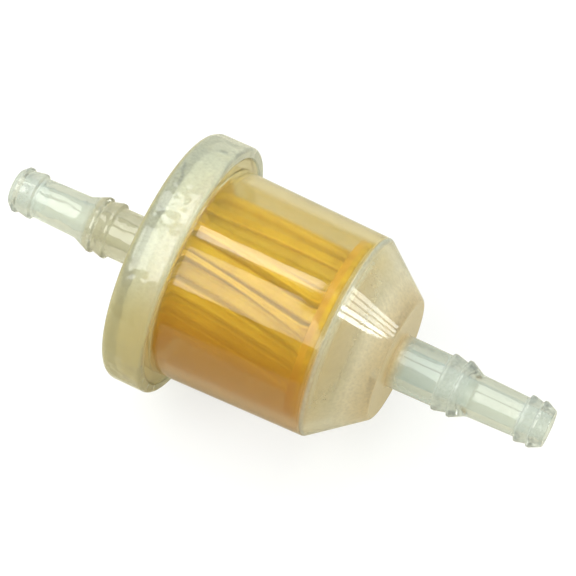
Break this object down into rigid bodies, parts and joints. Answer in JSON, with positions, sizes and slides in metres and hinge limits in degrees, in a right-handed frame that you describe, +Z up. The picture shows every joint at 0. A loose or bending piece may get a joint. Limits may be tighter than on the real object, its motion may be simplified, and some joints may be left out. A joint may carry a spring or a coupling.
{
  "type": "fuel filter",
  "caption": "Inline fuel filter with a translucent round housing, stepped hose barbs at both ends and a pleated paper cartridge inside.",
  "frame": {"origin": "on the flow axis, midway between the two stem tips", "axes": "+X along the flow axis from the cap's outlet stem to the bowl's inlet stem, +Z up"},
  "size_m": [0.0874, 0.0396, 0.0396],
  "materials": {
    "housing": "translucent natural nylon, smooth moulded",
    "filter_paper": "resin-treated amber filter paper, fibrous",
    "hot_melt": "hot-melt adhesive, glossy",
    "potting": "amber potting compound, satin",
    "cartridge_plastic": "amber moulded plastic, satin"
  },
  "bodies": {
    "root": {"bowl": "housing", "cap": "housing", "pleated_paper": "filter_paper", "seam_bead": "hot_melt", "core_tube": "cartridge_plastic", "open_end_plate": "cartridge_plastic", "closed_end_plate": "cartridge_plastic", "open_end_potting": "potting", "closed_end_potting": "potting"}
  },
  "joints": []
}
